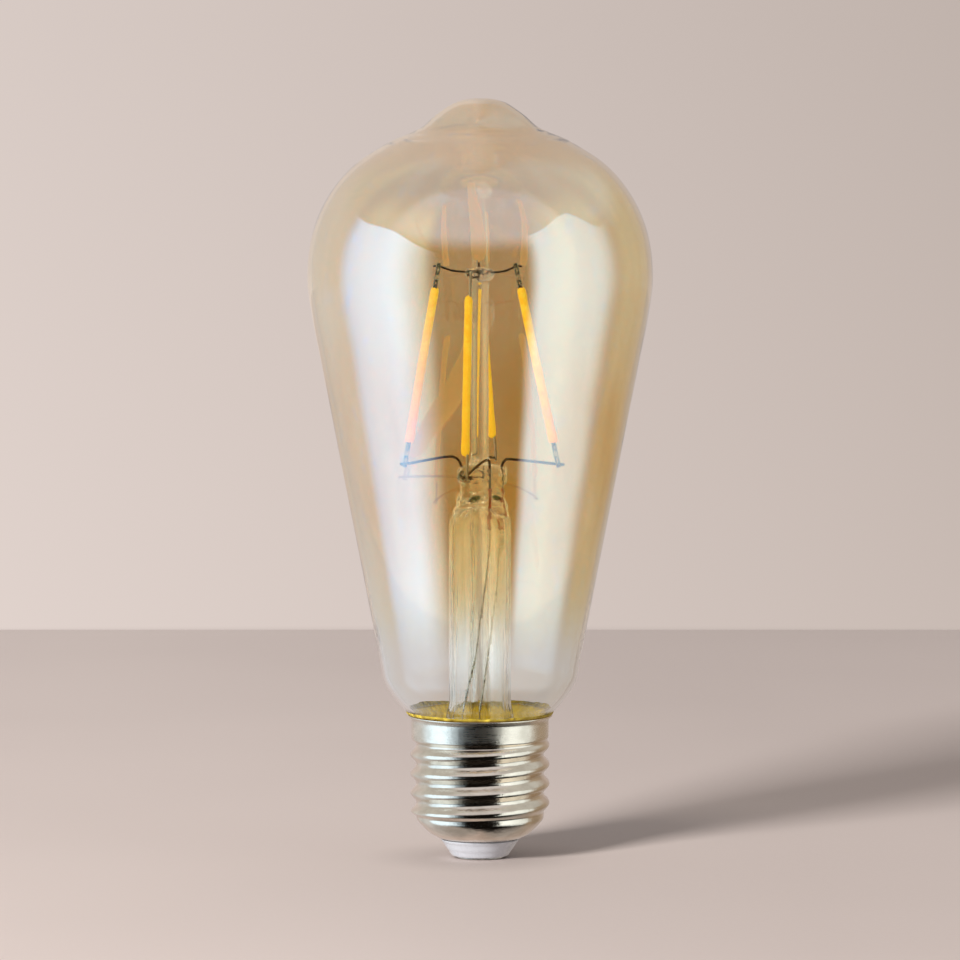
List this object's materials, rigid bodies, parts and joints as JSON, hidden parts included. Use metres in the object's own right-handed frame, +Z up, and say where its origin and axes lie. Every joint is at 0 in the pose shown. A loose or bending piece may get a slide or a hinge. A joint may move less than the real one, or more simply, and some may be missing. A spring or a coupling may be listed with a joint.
{
  "type": "smart light bulb",
  "caption": "Gold-tinted pear-shaped glass bulb with upright LED filaments on a glass stem, an Edison screw cap and a wireless driver inside the cap.",
  "frame": {"origin": "centre of the contact's lower face, the lowest point, on the bulb's long axis", "axes": "+Z up the bulb from the contact to the glass pip; -Y towards the viewer of the front filament; +X to that viewer's right"},
  "size_m": [0.0644, 0.0644, 0.1423],
  "materials": {
    "tinted_glass": "clear glass with a thin gold tint that fades out towards the neck",
    "clear_glass": "clear fire-polished glass",
    "phosphor": "yellow-orange phosphor silicone, satin",
    "tab_steel": "thin stamped metal, satin",
    "nickel_wire": "drawn wire, satin",
    "dumet": "borated copper cladding, reddish",
    "tinned_copper": "thin bright wire",
    "nickel_plate": "bright nickel plate",
    "white_insulator": "bluish white, satin gloss",
    "contact_metal": "plated contact with light marks",
    "cement": "olive-yellow grainy capping cement",
    "sleeve_plastic": "thin insulating film",
    "circuit_board": "green solder mask",
    "tinplate": "bright tinplate",
    "antenna_ceramic": "matt white ceramic",
    "chip_epoxy": "matt black moulding",
    "capacitor_film": "shrink film",
    "ferrite": "dark sintered ferrite",
    "resistor_lacquer": "green lacquer",
    "red_dip": "dipped coating"
  },
  "bodies": {
    "root": {"glass_envelope": "tinted_glass", "flare_stem": "clear_glass", "exhaust_tube": "clear_glass", "centre_rod": "clear_glass", "top_button": "clear_glass", "filament_front": "phosphor", "filament_left": "phosphor", "filament_back": "phosphor", "filament_right": "phosphor", "upper_tab_front": "tab_steel", "upper_tab_left": "tab_steel", "upper_tab_back": "tab_steel", "upper_tab_right": "tab_steel", "lower_tab_front": "tab_steel", "lower_tab_left": "tab_steel", "lower_tab_back": "tab_steel", "lower_tab_right": "tab_steel", "top_wire_left_right": "nickel_wire", "top_wire_front_back": "nickel_wire", "lower_link_wire": "nickel_wire", "inner_lead_front": "nickel_wire", "inner_lead_right": "nickel_wire", "dumet_seal_front": "dumet", "dumet_seal_right": "dumet", "outer_lead_front": "tinned_copper", "outer_lead_right": "tinned_copper", "cap_shell": "nickel_plate", "cap_insulator": "white_insulator", "centre_contact": "contact_metal", "capping_cement": "cement", "insulating_sleeve": "sleeve_plastic", "driver_board": "circuit_board", "wireless_board": "circuit_board", "shield_can": "tinplate", "chip_antenna": "antenna_ceramic", "bridge_rectifier": "chip_epoxy", "driver_chip": "chip_epoxy", "smoothing_capacitor": "capacitor_film", "choke": "ferrite", "fusible_resistor": "resistor_lacquer", "film_capacitor": "red_dip", "live_wire": "tinned_copper", "neutral_wire": "tinned_copper"}
  },
  "joints": []
}
